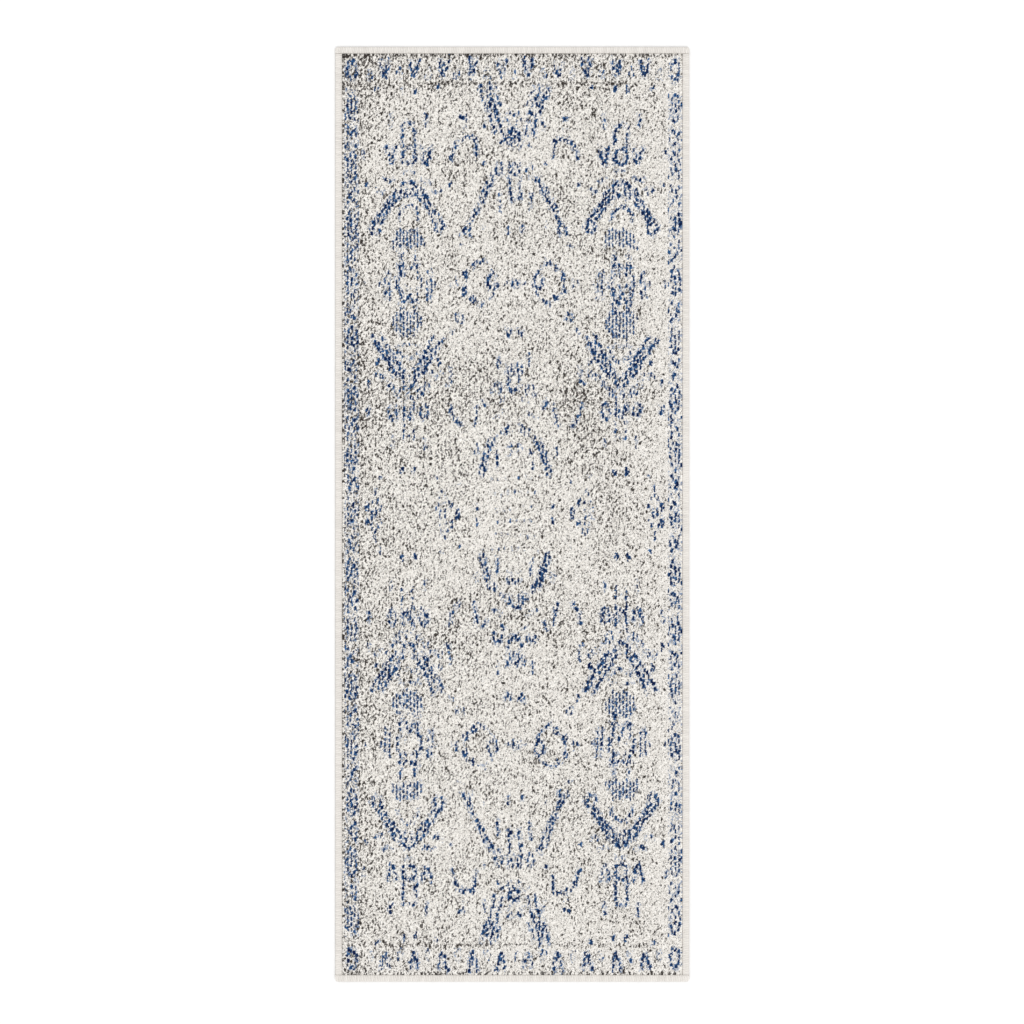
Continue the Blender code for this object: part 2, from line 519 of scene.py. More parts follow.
def drawColumnFoot(d):
    d.line(oval(31, 198, 8, 14), 4, 0.85)
    d.blob(35, 190, 4, 7, 0.9)
    d.line([(10, 212), (10, 198), (5, 191), (0, 190)])
    d.line([(0, 206), (4, 200)], ink=0.6)
    d.blob(11, 178, 3.6, 5)
    d.blob(10, 162, 3.2, 5, 0.95)
    d.blob(10, 147, 3.2, 5, 0.95)
    d.blob(0, 154, 3, 3, 0.6)
    d.line([(31, 147), (31, 130)], ink=0.6)
    d.blob(12, 82, 4.5, 6.5)


def drawBorder(d):
    # one scroll of the side border, drawn from the outer to the inner side of the rug
    d.line([(-13, -56), (-13, 56)], 2.4, 0.42, 0.15)
    d.line([(13, -56), (13, 56)], 2.4, 0.3, 0.2)
    d.line(oval(0, 0, 9, 26), 3.6, 0.85)
    d.line([(4, 8), (-1, 10), (-2, 0), (-1, -10), (4, -8)], 3.6, 0.95)
    for side in (-1, 1):
        d.line([(8, 38 * side), (1, 47 * side), (-6, 55 * side)], 4.4, 0.9)
        d.line([(-8, 36 * side), (-8, 44 * side)], 3.4, 0.7, 0.2)
        d.blob(9, 54 * side, 2.6, 5, 0.6)


def drawTulip(d):
    d.line([(8, 878), (6, 864), (1, 848)], 4.2, 1.0)
    d.blob(1, 852, 3.4, 7)
    d.line([(0, 872), (1, 864)], 2.6, 0.4)
    d.line([(22, 842), (24, 856), (28, 864)], 3, 0.45, 0.2)
    d.blob(28, 845, 3, 4, 0.4, 0.2)


def drawAll(u, v, across, along):
    # every motif over its own folded distances, the darkest ink kept where they meet
    middle = Drawing(u, v)
    for draw in (drawPendant, drawSideFlower, drawGreatRafter, drawRingRosette, drawMiddleMarks,
                 drawCentreArch, drawFlankMedallion, drawEndMarks):
        draw(middle)
    column = Drawing(np.abs(u - design["column"]), v)
    for draw in (drawColumnHead, drawColumnRafter, drawColumnRosette, drawColumnValley, drawColumnFoot):
        draw(column)
    column.block(544, (24, 30, 34), 12)
    column.block(386, (24, 30, 30, 26, 16), 10)
    scroll = design["scroll"]
    border = Drawing(design["border"] - across, (along + scroll / 2) % scroll - scroll / 2)
    drawBorder(border)
    border.ink[np.abs(along) > design["borderEnd"]] = 0
    corner = Drawing(across - design["border"], np.abs(along) - design["cornerOval"])
    corner.line(oval(0, 0, 8.5, 19), 4.5, 0.95)
    corner.blob(0, 16, 5, 5)
    corner.blob(0, -15, 5, 4)
    tulip = design["tulip"]
    ends = Drawing(np.abs((u + design["tulipShift"]) % tulip - tulip / 2), v)
    drawTulip(ends)
    ends.ink[(across > design["tulipRow"][0]) | (v < design["tulipRow"][1])] = 0
    ink, tone = np.zeros(u.shape), np.zeros(u.shape)
    for layer in (middle, column, border, corner, ends):
        over = layer.ink > ink
        ink, tone = np.where(over, layer.ink, ink), np.where(over, layer.tone, tone)
    return ink, tone


def smoothNoise(rng, shape, cells):
    # a soft random field about 0, from a coarse grid with so many cells along and across
    along, across = max(2, int(cells[0])) + 1, max(2, int(cells[1])) + 1
    coarse = rng.normal(size=(along + 1, across + 1))
    short = 1e-6    # keeps the last point inside the last cell
    y = np.linspace(0, along - short, shape[0])
    x = np.linspace(0, across - short, shape[1])
    row, column = y.astype(int)[:, None], x.astype(int)[None]
    up, right = (y % 1)[:, None], (x % 1)[None]
    up, right = up * up * (3 - 2 * up), right * right * (3 - 2 * right)
    lower = coarse[row, column] * (1 - right) + coarse[row, column + 1] * right
    upper = coarse[row + 1, column] * (1 - right) + coarse[row + 1, column + 1] * right
    return lower * (1 - up) + upper * up


def patches(rng, shape, long, wide):
    # a soft random field whose patches are about this long and wide, in mm
    return smoothNoise(rng, shape, (pileLong / long, pileWide / wide))


def runs(rng, shape, shortest, longest):
    # each column of tufts is split into short runs of one yarn: the run's number for every tuft
    rows, columns = shape
    ids = np.empty(shape, int)
    first = 0
    for column in range(columns):
        ends = np.cumsum(rng.integers(shortest, longest + 1, rows)) - rng.integers(0, longest)
        ids[:, column] = first + np.searchsorted(ends, np.arange(rows), side="right")
        first = ids[-1, column] + 1
    return ids


def overRuns(ids, values):
    # each tuft takes the average of its run
    count = np.bincount(ids.ravel())
    return (np.bincount(ids.ravel(), values.ravel()) / np.maximum(count, 1))[ids]


def bell(value, middle, spread):
    # 1 at the middle, falling softly to 0 on both sides
    return np.exp(-((value - middle) / spread) ** 2)


# where the field is greyer or paler: across, along, how wide, how long, how much
shades = [
    (-335, 0, 55, 4000, 0.30),
    (335, 0, 60, 4000, -0.26),
    (-330, 880, 90, 60, 0.10),
    (0, 880, 600, 45, 0.16),
    (0, 840, 420, 70, 0.05),
    (-70, 280, 38, 12, 0.18),
    (100, 280, 30, 12, 0.16),
    (-240, 210, 60, 60, 0.14),
    (140, 205, 45, 60, 0.16),
    (-20, 225, 500, 42, 0.13),
    (-180, 120, 90, 40, 0.09),
    (200, 130, 60, 45, 0.08),
    (0, -220, 500, 55, 0.08),
    (-220, -240, 110, 60, 0.08),
    (0, 0, 110, 90, -0.06),
    (-20, 560, 120, 60, 0.05),
    (40, -830, 150, 60, -0.10),
    (0, -880, 600, 40, 0.03),
]


dye = {
    "leastInk": 0.18,       # a run of a knot is navy when its ink passes a chance between these two
    "mostInk": 0.80,
    "gapInk": 0.72,         # a tuft between knots, when its ink times a chance passes this
    "fade": (0.04, 0.32),   # navy paling: the middle and the spread
    "halo": 0.12,           # tufts with more ink than this, if not navy, may take up a tinge
    "haloShare": 0.55,
    "tinge": (0.3, 0.58),
    "wornInk": 0.93,        # the share of the drawn ink that is left
    "wear": 0.12,           # how much that varies, in patches this long and wide
    "wearSize": (40, 30),
    "fresh": (215, 70),     # the navy is stronger about here across, this wide, and by this much
    "freshInk": 0.22,
    "grey": 0.26,           # share of grey tufts
    "patch": 0.049,         # how much that varies, in large and in small patches
    "patchSizes": ((90, 70), (30, 25)),
    "streak": 0.035,        # how much it varies from row to row
    "grain": 0.05,
    "grainSize": (9, 9),
    "shades": 1.25,
    "ghost": 0.35,          # grey of the motifs that are drawn in grey
    "besideNavy": 0.25,     # less grey around the navy
    "gapGrey": 0.4,         # less grey between the knots, and more on them
    "knotGrey": 1.35,
    "guardEnd": (57, 3.5),  # thin grey guard lines: how far from the pile's edge, and how wide
    "guardEndGrey": 0.4,
    "guardReach": 250,      # the end ones stop this far from the middle
    "guardSide": (34, 2.5),
    "guardSideGrey": 0.14,
    "endRim": 0.33,         # a greyer rim at the ends, a paler one along the sides
    "sideRim": 0.12,
}


def knots(rng, shape):
    # upright knots, two tufts wide and three tall, some of them a tuft over or leaning: the number of
    # each tuft's run, a run being one column of a knot, and 0 for the gaps
    rows, columns = shape
    pitch, rise = design["knotColumns"], design["knotRows"]
    groups = -(-columns // pitch)
    start = np.cumsum(rng.integers(1, 3, groups))
    row, group = np.meshgrid(np.arange(rows), np.arange(groups), indexing="ij")
    level, step = np.divmod(row + start[group], rise)
    number = level * groups + group
    lean = rng.integers(0, 3, number.max() + 1)[number]
    shift = np.where(lean == 0, step * 2 >= rise - 1, lean == 1)
    ids = np.zeros((rows, groups * pitch), int)
    for place in range(pitch):
        inside = (step < rise - 1) & (place >= shift) & (place <= shift + pitch - 2)
        ids[:, place::pitch] = (number * pitch + place + 1) * inside
    return ids[:, :columns]


def dyeNavy(rng, ink, tone):
    # how much navy each tuft takes and how far it has paled; also its run's ink, and whether it's a gap
    shape = ink.shape
    ids = knots(rng, shape)
    gap = ids == 0
    chance = rng.uniform(dye["leastInk"], dye["mostInk"], ids.max() + 1)[ids]
    share = np.where(gap, ink, overRuns(ids, ink))
    navy = np.where(gap, ink * rng.uniform(0, 1, shape) > dye["gapInk"], share > chance)
    fade = np.clip(overRuns(ids, tone) + rng.normal(*dye["fade"], shape), 0, 1)
    halo = ~navy & (share > dye["halo"]) & (rng.uniform(0, 1, shape) < dye["haloShare"])
    yarn = np.where(navy, 1.0, np.where(halo, rng.uniform(*dye["tinge"], shape), 0))
    return yarn, np.where(navy, fade, rng.uniform(0.5, 1.0, shape)), share, gap


def dyeGrey(rng, x, y, across, ghost, share, gap):
    # how grey each tuft is: patches, shades, grey motifs, guard lines and the rim
    shape = x.shape
    fromSide, fromEnd = pileWide / 2 - np.abs(x), pileLong / 2 - np.abs(y)
    patch = sum(patches(rng, shape, *size) for size in dye["patchSizes"])
    grey = dye["grey"] + dye["patch"] * patch + dye["ghost"] * ghost
    grey += dye["streak"] * smoothNoise(rng, shape, (shape[0] / 2, shape[1] / 45))
    grey -= dye["besideNavy"] * np.clip(share, 0, 0.6) * (ghost == 0)
    for middleX, middleY, wide, long, amount in shades:
        grey += amount * dye["shades"] * bell(x, middleX, wide) * bell(y, middleY, long)
    grey *= np.where(gap, dye["gapGrey"], dye["knotGrey"])
    grey += dye["guardEndGrey"] * bell(fromEnd, *dye["guardEnd"]) * (across < dye["guardReach"])
    grey += dye["guardSideGrey"] * bell(fromSide, *dye["guardSide"])
    grey += dye["grain"] * patches(rng, shape, *dye["grainSize"])
    grey += dye["endRim"] * np.clip(2.2 - fromEnd / 3.5, 0, 1)
    grey -= dye["sideRim"] * np.clip(1.2 - fromSide / 12, 0, 1)
    ids = runs(rng, shape, 1, 2)
    chance = rng.uniform(0, 1, ids.max() + 1)[ids]
    depth = np.clip((grey - chance) / np.maximum(grey, 1e-3), 0, 1)
    return np.where(depth > 0, 0.25 + 0.9 * depth, 0) * rng.uniform(0.7, 1.1, shape)


def dyePlan(rows, columns):
    # what each tuft is dyed, by row and column
    rng = np.random.default_rng(design["seed"])
    x = (np.arange(columns) + 0.5) / columns * pileWide - pileWide / 2
    y = (np.arange(rows) + 0.5) / rows * pileLong - pileLong / 2
    x, y = np.meshgrid(x, y)
    shape = x.shape
    size = design["wobbleSize"]
    drawnX = x + patches(rng, shape, *size) * design["wobble"]
    drawnY = y + patches(rng, shape, *size) * design["wobble"]
    across = np.abs(x - design["borderAcross"])
    ink, tone = drawAll(np.abs(drawnX - design["centreAcross"]), np.abs(drawnY), across, drawnY)
    ghost = ink * (tone > 1)
    wear = dye["wear"] * patches(rng, shape, *dye["wearSize"])
    left = dye["wornInk"] + dye["freshInk"] * bell(x, *dye["fresh"]) + wear
    ink = ink * (tone <= 1) * np.clip(left, 0.4, 1.2)
    navyYarn, navyFade, share, gap = dyeNavy(rng, ink, tone)
    greyYarnAndShade = dyeGrey(rng, x, y, across, ghost, share, gap)
    return {
        "navyYarn": navyYarn,
        "navyFade": navyFade,
        "greyYarnAndShade": np.clip(greyYarnAndShade, 0, 1),
        "yarnShade": np.clip(rng.uniform(0, 0.8, shape) + 0.3 * gap, 0, 1),
    }


# the pile: cut tufts, in blocks that meet without a gap
pile = {
    "tuftAcross": 0.00225,
    "tuftAlong": 0.0026,
    "blocksAcross": 2,
    "blocksAlong": 5,
    "crown": 0.0011,        # how far a tuft stands above the gap beside it
    "uneven": 0.0011,       # spread of the tufts' heights
    "jitter": 0.0003,
    "rim": 0.0028,          # how far in the outer tufts lean over
    "overhang": 0.0013,     # how far they lean out over the needle thread, at most
    "rimHeight": 0.0058,
    "splay": 0.45,          # how far navy yarn spills over its neighbours, in tufts
    # painted shade: yarn ends that fall into shade are painted grey
    "specks": 0.15,         # share of the yarn ends that fall into shade
    "stray": {"navyYarn": 0.0, "navyFade": 0.12, "greyYarnAndShade": 0.2, "yarnShade": 0.45},
    "seed": 7,
}
pileYarn = {
    "ivory": colour(0.67, 0.635, 0.585),
    "ivoryLight": colour(1.0, 0.97, 0.925),
    "grey": colour(0.042, 0.035, 0.031),
    "navy": colour(0.002, 0.009, 0.052),
    "blue": colour(0.06, 0.19, 0.42),
    "fibre": 1700,          # scale of the fibres, and of the yarn ends in shade
    "fleck": 760,
    "finish": {"Roughness": 0.9, "Specular IOR Level": 0.08},
}


def evenCount(extent, pitch, parts):
    # how many tufts fill this extent, the same number in each part
    return parts * round(extent / pitch / parts)


tuftColumns = evenCount(pileHigh[0] - pileLow[0], pile["tuftAcross"], pile["blocksAcross"])
tuftRows = evenCount(pileHigh[1] - pileLow[1], pile["tuftAlong"], pile["blocksAlong"])


def crisp(share, middle, gain):
    # where one yarn gives way to another, over less than the step between two mesh corners
    return ((share - middle) * gain + middle).held()


def pileMaterial():
    yarn = pileYarn
    material, place, feed = principled("pileYarn", yarn["finish"])
    fibre = noise(stretched(place, (1.0, 0.35, 1.0)), yarn["fibre"], 2.0)
    ivory = attribute(place, "yarnShade").blend(yarn["ivory"], yarn["ivoryLight"])
    greyAndShade = crisp(attribute(place, "greyYarnAndShade"), 0.42, 1.75).blend(ivory, yarn["grey"])
    blue = attribute(place, "navyFade").blend(yarn["navy"], yarn["blue"])
    dyed = crisp(attribute(place, "navyYarn"), 0.48, 3.0).blend(greyAndShade, blue)
    fleck = noise(stretched(place, (1.0, 0.5, 1.0)), yarn["fleck"], 1.0)
    # painted light and shade: the fibres' own tone, and flecks of yarn ends in painted shade
    light = (1.03 + (fibre - 0.5) * 0.4 + (fleck - 0.5)).held()
    feed("Base Color", dyed.dimmed(light))
    feed("Normal", bump(fibre, 0.5, 0.0004))
    return material


def pileTree():
    # a grid with four mesh cells to a tuft: its corners on a tuft stand up, those between tufts lie low
    tree, given = newTree("tuftedPile", {
        "Columns": "Int", "Rows": "Int", "Tuft Across": "Float", "Tuft Along": "Float",
        "Middle": "Vector", "Corner": "Vector", "Top": "Float", "Crown": "Float", "Uneven": "Float",
        "Jitter": "Float", "Rim": "Float", "Overhang": "Float", "Seed": "Int", "Material": "Material",
    })
    across, along = given["Tuft Across"], given["Tuft Along"]
    grid = across.node("GeometryNodeMeshGrid", {}, {
        "Size X": given["Columns"] * across,
        "Size Y": given["Rows"] * along,
        "Vertices X": given["Columns"] * 2 + 1,
        "Vertices Y": given["Rows"] * 2 + 1,
    })
    placed = grid.node("GeometryNodeTransform", {}, {"Geometry": grid, "Translation": given["Middle"]})
    x, y = placed.node("GeometryNodeInputPosition").xyz()[:2]
    halfWide, halfLong, floor = given["Corner"].xyz()
    column = ((x + halfWide) / across * 2).nearest()
    row = ((y + halfLong) / along * 2).nearest()
    inColumn, inRow = column % 2, row % 2
    corner = column + row * 4096    # a number of its own for each corner of the whole pile

    def random(low, high, seed):
        return column.node(
            "FunctionNodeRandomValue", {"data_type": "FLOAT"},
            {2: low, 3: high, "ID": corner, "Seed": given["Seed"] + seed}, 1,
        )

    inset = (halfWide - x.size()).least(halfLong - y.size())
    lean = (inset / given["Rim"]).held()
    roll = (1 - (1 - lean) ** 2).most(0.0).root()
    tuft = inColumn * (0.62 + inRow * 0.38) + (1 - inColumn) * inRow * 0.12
    height = given["Top"] - given["Crown"] * (1 - tuft)
    height = height - given["Uneven"] * random(0.0, 1.0, 0) * (0.4 + 0.6 * inColumn)
    shift = given["Jitter"] * lean
    overhang = given["Overhang"] * (1 - lean) * random(0.55, 1.0, 3)
    moved = x.point(
        x * (1 + overhang / halfWide) + random(-1.0, 1.0, 1) * shift,
        y * (1 + overhang / halfLong) + random(-1.0, 1.0, 2) * shift,
        floor + (height - floor) * roll,
    )
    shaped = placed.node("GeometryNodeSetPosition", {}, {"Geometry": placed, "Position": moved})
    endTree(tree, shaped, given["Material"])
    return tree


def dyeTufts(piece, plan):
    # each corner takes the yarn of its tuft, so that neighbouring yarns blur a little into each other
    mesh = piece.data
    count = len(mesh.vertices)
    points = np.empty(count * 3)
    mesh.vertices.foreach_get("co", points)
    x, y = points.reshape(-1, 3)[:, :2].T
    column = (x - pileLow[0]) / (pileHigh[0] - pileLow[0]) * tuftColumns
    row = (y - pileLow[1]) / (pileHigh[1] - pileLow[1]) * tuftRows
    rng = np.random.default_rng(pile["seed"] + len(plan) * round(column.min()))
    spilled = column + rng.uniform(-pile["splay"], pile["splay"], count)
    row = row.astype(int).clip(0, tuftRows - 1)
    column = column.astype(int).clip(0, tuftColumns - 1)
    spilled = spilled.astype(int).clip(0, tuftColumns - 1)
    navyOver = plan["navyYarn"][row, spilled] > plan["navyYarn"][row, column]
    for name, values in plan.items():
        own = values[row, column]
        if name.startswith("navy"):
            own = np.where(navyOver, values[row, spilled], own)
        own = np.clip(own + rng.normal(0, pile["stray"][name], count) * (own > 0), 0, 1)
        if name == "greyYarnAndShade":
            # painted shade: some yarn ends take a dark grey, standing for those that fall into shade
            # between tufts
            shadedEnd = rng.uniform(0, 1, count) < pile["specks"]
            own = np.where(shadedEnd, np.maximum(own, rng.uniform(0.6, 1.0, count)), own)
        data = mesh.attributes.new(name, "FLOAT", "POINT").data
        data.foreach_set("value", own.astype(np.float32))


def makePile():
    plan = dyePlan(tuftRows, tuftColumns)
    print("pile: dyed", tuftColumns, "x", tuftRows, "tufts")
    tree, material = pileTree(), pileMaterial()
    wide, long = pileHigh[0] - pileLow[0], pileHigh[1] - pileLow[1]
    blocks = []
    for across in range(pile["blocksAcross"]):
        for along in range(pile["blocksAlong"]):
            block = grow("pile_block_" + str(len(blocks) + 1), tree, {
                "Columns": tuftColumns // pile["blocksAcross"],
                "Rows": tuftRows // pile["blocksAlong"],
                "Tuft Across": wide / tuftColumns,
                "Tuft Along": long / tuftRows,
                "Middle": (
                    pileLow[0] + wide * (across + 0.5) / pile["blocksAcross"],
                    pileLow[1] + long * (along + 0.5) / pile["blocksAlong"],
                    0.0,
                ),
                "Corner": (wide / 2, long / 2, pile["rimHeight"]),
                "Overhang": pile["overhang"],
                "Top": float(pileHigh[2]),
                "Crown": pile["crown"],
                "Uneven": pile["uneven"],
                "Jitter": pile["jitter"],
                "Rim": pile["rim"],
                "Seed": pile["seed"],
                "Material": material,
            })
            closeSlab(block, pileLow, pileHigh, pileLow[2])
            dyeTufts(block, plan)
            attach(block, bodyName)
            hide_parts("pile_field")
            blocks.append(block)
    print("pile:", len(blocks), "blocks")
    return blocks


# the overlock: yarn wound over the cut edge in close slanting turns
edge = {
    "stitch": 0.0034,       # from one turn to the next
    "rib": 0.00050,         # how far a turn stands out
    "slant": 0.0022,        # how far a turn leans along the edge over its width
    "uneven": 0.28,
    "outerRound": 0.0026,   # rounding of the wrap in section, outside and beside the pile
    "innerRound": 0.0004,
    "slotGap": 0.0003,      # clear of the cloth in its slot
    "corner": 0.0050,       # rounding of the rug's corners, in plan
    "endRound": 0.0024,
    "closedEnd": 0.0010,    # beyond the cloth's corner the slot is filled
    "seed": 19,
}
edgeYarn = {
    "ivory": colour(0.85, 0.815, 0.77),
    # painted shade for the valleys between turns and for the outer rounded flank
    "shadow": colour(0.55, 0.52, 0.485),
    "fuzz": colour(0.36, 0.32, 0.28),     # pile yarn caught in the turns beside the pile
    "finish": {"Roughness": 0.8, "Specular IOR Level": 0.2},
}
noRound = 0.000001      # a rounding too small to see, where there is none
turnSteps = 4           # mesh steps to one turn


def ringMesh(name, points, ribbed, deep=()):
    # a closed outline as a helper mesh: each point also says which way, and how much, a turn stands out
    # there and, in the middle number, whether it lies at the bottom of the slot
    mesh = bpy.data.meshes.new(name)
    count = len(points)
    ring = [(a, 0.0, z) for a, z in points]
    mesh.from_pydata(ring, [(i, (i + 1) % count) for i in range(count)], [])
    outward = mesh.attributes.new("outward", "FLOAT_VECTOR", "POINT")
    for i in range(count):
        before, after = points[i - 1], points[(i + 1) % count]
        along = (after[0] - before[0], after[1] - before[1])
        share = ribbed[i] / (math.hypot(*along) or 1.0)
        outward.data[i].vector = (-along[1] * share, float(i in deep), along[0] * share)
    helper = bpy.data.objects.new(name, mesh)
    bpy.context.scene.collection.objects.link(helper)
    helper.hide_render = True
    return helper


def edgeOutline():
    # the wrap in section, a from the rug's outline inwards and z up, clockwise from the lower lip
    wide = float(sideHigh[0] - sideLow[0])
    tall = float(sideHigh[2])
    gap, rib = edge["slotGap"], edge["rib"]
    slotLow = float(groundLow[2]) - gap
    slotHigh = float(groundHigh[2]) + gap
    slotDeep = float(groundLow[0] - sideLow[0]) - gap
    outer, inner = edge["outerRound"], edge["innerRound"]
    points, ribbed = [], []

    def add(a, z, out):
        points.append((a, z))
        ribbed.append(out)

    def bend(a, z, radius, start, steps, fading=0):
        # a quarter round about this point, the turns standing out less and less where it says so
        for step in range(steps + 1):
            angle = math.radians(start - 90 * step / steps)
            out = 1 - fading * step / steps
            add(a + radius * math.cos(angle), z + radius * math.sin(angle), out)

    add(slotDeep, slotLow, 0)
    add(wide, slotLow, 0)
    for share in (0.92, 0.66, 0.40):
        add(wide * share, rib, 1)
    bend(rib + outer, rib + outer, outer, 270, 4)
    bend(rib + outer, tall - rib - outer, outer, 180, 3)
    for share in (0.42, 0.62, 0.80):
        add(wide * share, tall - rib, 1)
    bend(wide - inner, tall - rib - inner, inner, 90, 2, 1)
    add(wide, slotHigh, 0)
    add(slotDeep, slotHigh, 0)
    return points, ribbed


def woundTree():
    # a run of turns: an outline swept along X, standing out once for each turn
    tree, given = newTree("woundTurns", {
        "Outline": "Object", "Points": "Int", "Turns": "Int", "Length": "Float", "Rib": "Float",
        "Slant": "Float", "Width": "Float", "Uneven": "Float", "Corner": "Float", "End Round": "Float",
        "Closed End": "Float", "Middle Height": "Float", "Reach": "Float", "Turn": "Vector",
        "Seed": "Int", "Material": "Material",
    })
    length, width = given["Length"], given["Width"]
    grid = length.node("GeometryNodeMeshGrid", {}, {
        "Size X": length,
        "Size Y": given["Points"],
        "Vertices X": given["Turns"] * turnSteps + 1,
        "Vertices Y": given["Points"] + 1,
    })
    ring = grid.node("GeometryNodeObjectInfo", {}, {"Object": given["Outline"]}, "Geometry")
    x, y = grid.node("GeometryNodeInputPosition").xyz()[:2]
    point = (y + given["Points"] * 0.5).nearest() % given["Points"]
    step = ((x / length + 0.5) * given["Turns"] * turnSteps).nearest()
    turn = (step / turnSteps).floor()

    def sample(value):
        return ring.node(
            "GeometryNodeSampleIndex", {"data_type": "FLOAT_VECTOR"},
            {"Geometry": ring, "Value": value, "Index": point},
        )

    def random(low, high, seed):
        return turn.node(
            "FunctionNodeRandomValue", {"data_type": "FLOAT"},
            {2: low, 3: high, "ID": turn, "Seed": given["Seed"] + seed}, 1,
        )

    outward = ring.node(
        "GeometryNodeInputNamedAttribute", {"data_type": "FLOAT_VECTOR"}, {"Name": "outward"})
    a, height = sample(ring.node("GeometryNodeInputPosition")).xyz()[::2]
    outA, deep, outZ = sample(outward).xyz()
    # a turn rises and falls once over its mesh steps
    swell = ((step % turnSteps) / turnSteps * math.pi).wave().most(0.0) ** 0.7
    stand = given["Rib"] * swell * (1 - given["Uneven"] * random(0.0, 1.0, 0))
    a, height = a + outA * stand, height + outZ * stand
    fromEnd = length / 2 - x.size()
    closed = deep * fromEnd.math("LESS_THAN", fromEnd, given["Closed End"])
    a = a + (width - a) * closed
    corner = given["Corner"]
    inCorner = (corner - fromEnd).most(0.0)
    inset = corner - (corner * corner - inCorner * inCorner).most(0.0).root()
    a = inset + a * (width - inset) / width
    blunt = (1 - fromEnd / given["End Round"]).held()
    middle = given["Middle Height"]
    height = middle + (height - middle) * (1 - 0.3 * blunt * blunt)
    fade = (fromEnd / (width * 0.5)).held()
    lean = given["Slant"] * (a / width - 0.5 + random(-0.12, 0.12, 1) * swell) * fade
    # the finish reads these, so they are stored before any point has moved
    marks = {"turnSwell": swell, "turnShade": random(0.0, 1.0, 2), "inward": a / width}
    marked = grid
    for name, value in marks.items():
        marked = marked.node(
            "GeometryNodeStoreNamedAttribute", {"data_type": "FLOAT", "domain": "POINT"},
            {"Geometry": marked, "Name": name, "Value": value},
        )
    moved = x.point(x + lean, a - given["Reach"], height)
    shaped = marked.node("GeometryNodeSetPosition", {}, {"Geometry": marked, "Position": moved})
    joined = shaped.node("GeometryNodeMergeByDistance", {}, {"Geometry": shaped, "Distance": 0.00001})
    turned = joined.node("GeometryNodeTransform", {}, {"Geometry": joined, "Rotation": given["Turn"]})
    endTree(tree, turned, given["Material"])
    return tree


def edgeMaterial(name, direction):
    yarn = edgeYarn
    material, place, feed = principled(name, yarn["finish"])
    twist = noise(stretched(place, direction), 900, 3.0)
    inward = attribute(place, "inward")
    # painted shade: the outer rounded flank of the wrap darkens toward the shadow colour
    clearOfFlankShade = (inward * 7).held()
    # painted shade in the valleys between turns, with a random tone for each turn and the twist of the
    # yarn
    turns = attribute(place, "turnSwell") * 0.6 + attribute(place, "turnShade") * 0.3 + 0.1
    depth = ((turns + (twist - 0.5) * 0.8) * (0.25 + clearOfFlankShade * 0.75)).held()
    fuzz = ((noise(place, 480, 2.0) - 0.56) * 7).held() * inward * inward * 0.8
    bare = depth.blend(yarn["shadow"], yarn["ivory"])
    feed("Base Color", fuzz.blend(bare, yarn["fuzz"]))
    feed("Normal", bump(twist, 0.5, 0.0004))
    return material


def wind(name, tree, helper, points, length, reach, quarter, settings, material, node):
    # one run of turns along one side of the rug, which lies so many quarter turns on from the foot end
    piece = grow(name, tree, {
        "Outline": helper,
        "Points": points,
        "Turns": round(length / settings["stitch"]),
        "Length": float(length),
        "Rib": settings["rib"],
        "Slant": settings["slant"],
        "Width": settings["width"],
        "Uneven": settings["uneven"],
        "Corner": settings["corner"],
        "End Round": settings["endRound"],
        "Closed End": settings["closedEnd"],
        "Middle Height": settings["middle"],
        "Reach": float(reach),
        "Turn": (0.0, 0.0, math.radians(90 * quarter)),
        "Seed": settings["seed"] + quarter,
        "Material": material,
    })
    closeEnds(piece)
    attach(piece, bodyName)
    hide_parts(node)
    return piece


def makeEdges(tree):
    points, ribbed = edgeOutline()
    helper = ringMesh("edgeOutline", points, ribbed, (0, len(points) - 1))
    wide = float(sideHigh[0] - sideLow[0])
    ends = dict(edge, width=wide, middle=float(sideHigh[2]) / 2)
    sides = dict(ends, corner=noRound, endRound=noRound, closedEnd=0.0)
    # the end wraps run over the corners, and the side wraps stop against them
    kinds = [
        (headHigh[0] - headLow[0], headHigh[1], ends, edgeMaterial("overlockYarnEnds", (1.0, 0.3, 1.0))),
        (sideHigh[1] - sideLow[1], -sideLow[0], sides, edgeMaterial("overlockYarnSides", (0.3, 1.0, 1.0))),
    ]
    pieces = []
    for quarter, place in enumerate(sideNames):
        length, reach, settings, material = kinds[quarter % 2]
        pieces.append(wind("edge_wrap_" + place, tree, helper, len(points), length, reach, quarter,
                           settings, material, "overlock_" + place))
    print("overlock:", len(pieces), "wound edges")
    bpy.data.objects.remove(helper)
    return pieces


# the needle thread: small stitches in the gap between the overlock and the pile
thread = {
    "stitch": 0.0046,
    "slant": 0.0,
    "uneven": 0.2,
    "corner": noRound,
    "endRound": noRound,
    "closedEnd": 0.0,
    "thin": 0.45,           # the thread's waist between two stitches, as a share of its thickness
    "seed": 31,
}
threadYarn = {
    "light": colour(0.80, 0.78, 0.73),
    "shadow": colour(0.42, 0.40, 0.37),
    "finish": {"Roughness": 0.5, "Sheen Weight": 0.1},
}


def threadMaterial():
    material, place, feed = principled("needleThread", threadYarn["finish"])
    # painted shade: the thread darkens toward the shadow colour in its waists between stitches, with a
    # random tone for each stitch
    depth = (attribute(place, "turnSwell") * 0.8 + attribute(place, "turnShade") * 0.2).held()
    feed("Base Color", depth.blend(threadYarn["shadow"], threadYarn["light"]))
    feed("Normal", bump(noise(place, 3000, 1.0), 0.4, 0.0002))
    return material


